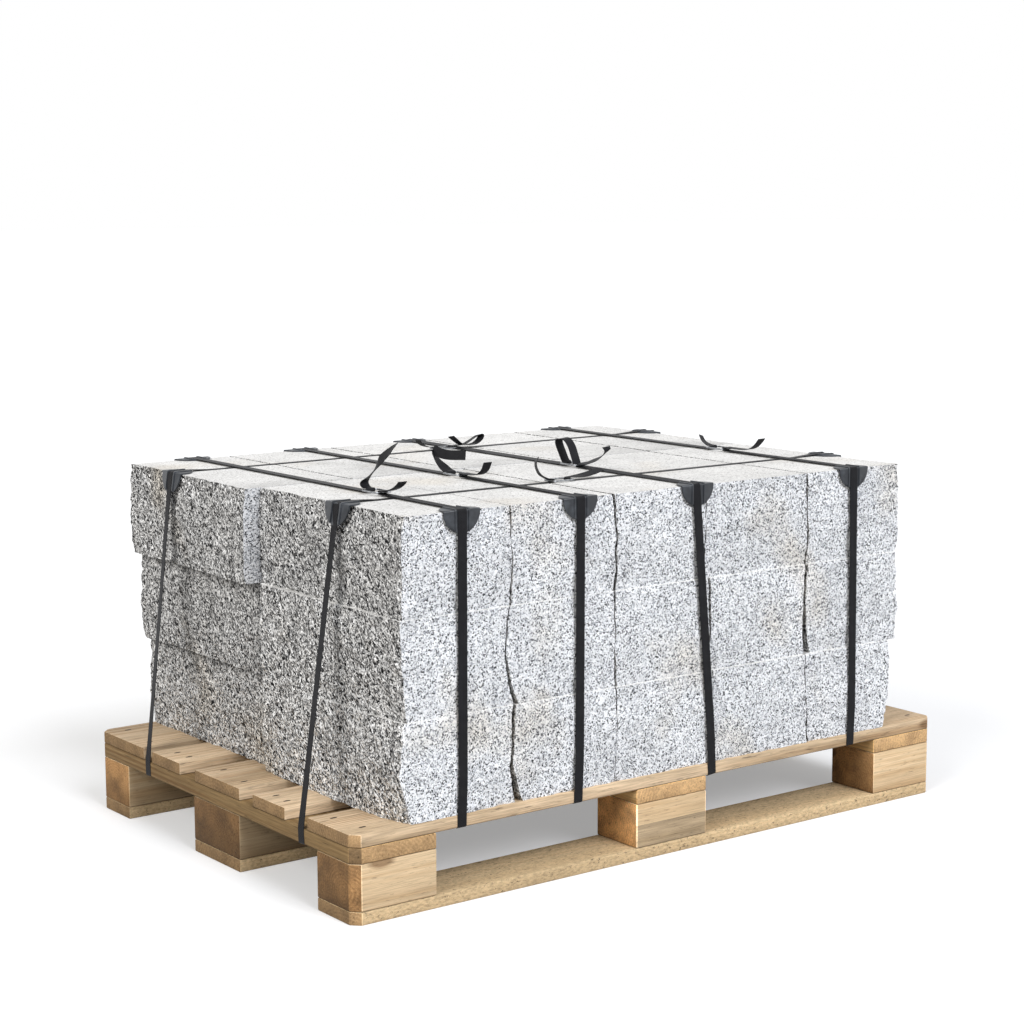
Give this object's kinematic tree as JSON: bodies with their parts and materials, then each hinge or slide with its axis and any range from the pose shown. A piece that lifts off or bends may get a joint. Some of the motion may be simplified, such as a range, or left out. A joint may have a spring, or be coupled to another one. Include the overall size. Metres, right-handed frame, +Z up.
{
  "type": "pallet of granite kerbs",
  "caption": "Wooden pallet loaded with courses of split granite kerb blocks, held down by plastic straps with edge protectors and wire buckles.",
  "frame": {"origin": "middle of the pallet's underside, on the floor", "axes": "+X along the pallet's length, +Y across it to the far side, +Z up"},
  "size_m": [1.2032, 0.8168, 0.6732],
  "materials": {
    "granite": "light grey granite, sawn beds and split sides",
    "pine_board": "rough-sawn pine",
    "pine_block": "sawn pine block",
    "strap_plastic": "embossed black polypropylene band",
    "protector_plastic": "moulded dark grey plastic",
    "buckle_wire": "galvanised wire"
  },
  "bodies": {
    "root": {"block_left_far": "pine_block", "block_left_middle": "pine_block", "block_left_near": "pine_block", "block_middle_far": "pine_block", "block_middle_middle": "pine_block", "block_middle_near": "pine_block", "block_right_far": "pine_block", "block_right_middle": "pine_block", "block_right_near": "pine_block", "bottom_board_far": "pine_board", "bottom_board_middle": "pine_board", "bottom_board_near": "pine_board", "cross_strap_1": "strap_plastic", "cross_strap_2": "strap_plastic", "cross_strap_3": "strap_plastic", "cross_strap_4": "strap_plastic", "deck_board_far": "pine_board", "deck_board_far_inner": "pine_board", "deck_board_middle": "pine_board", "deck_board_near": "pine_board", "deck_board_near_inner": "pine_board", "edge_protectors_cross": "protector_plastic", "edge_protectors_long": "protector_plastic", "kerb_bottom_far_1": "granite", "kerb_bottom_far_2": "granite", "kerb_bottom_far_3": "granite", "kerb_bottom_far_4": "granite", "kerb_bottom_far_5": "granite", "kerb_bottom_near_1": "granite", "kerb_bottom_near_2": "granite", "kerb_bottom_near_3": "granite", "kerb_bottom_near_4": "granite", "kerb_bottom_near_5": "granite", "kerb_middle_far_1": "granite", "kerb_middle_far_2": "granite", "kerb_middle_far_3": "granite", "kerb_middle_far_4": "granite", "kerb_middle_far_5": "granite", "kerb_middle_near_1": "granite", "kerb_middle_near_2": "granite", "kerb_middle_near_3": "granite", "kerb_middle_near_4": "granite", "kerb_middle_near_5": "granite", "kerb_top_far_1": "granite", "kerb_top_far_2": "granite", "kerb_top_far_3": "granite", "kerb_top_far_4": "granite", "kerb_top_far_5": "granite", "kerb_top_near_1": "granite", "kerb_top_near_2": "granite", "kerb_top_near_3": "granite", "kerb_top_near_4": "granite", "kerb_top_near_5": "granite", "long_strap_far": "strap_plastic", "long_strap_near": "strap_plastic", "stringer_left": "pine_board", "stringer_middle": "pine_board", "stringer_right": "pine_board", "wire_buckles": "buckle_wire"}
  },
  "joints": []
}
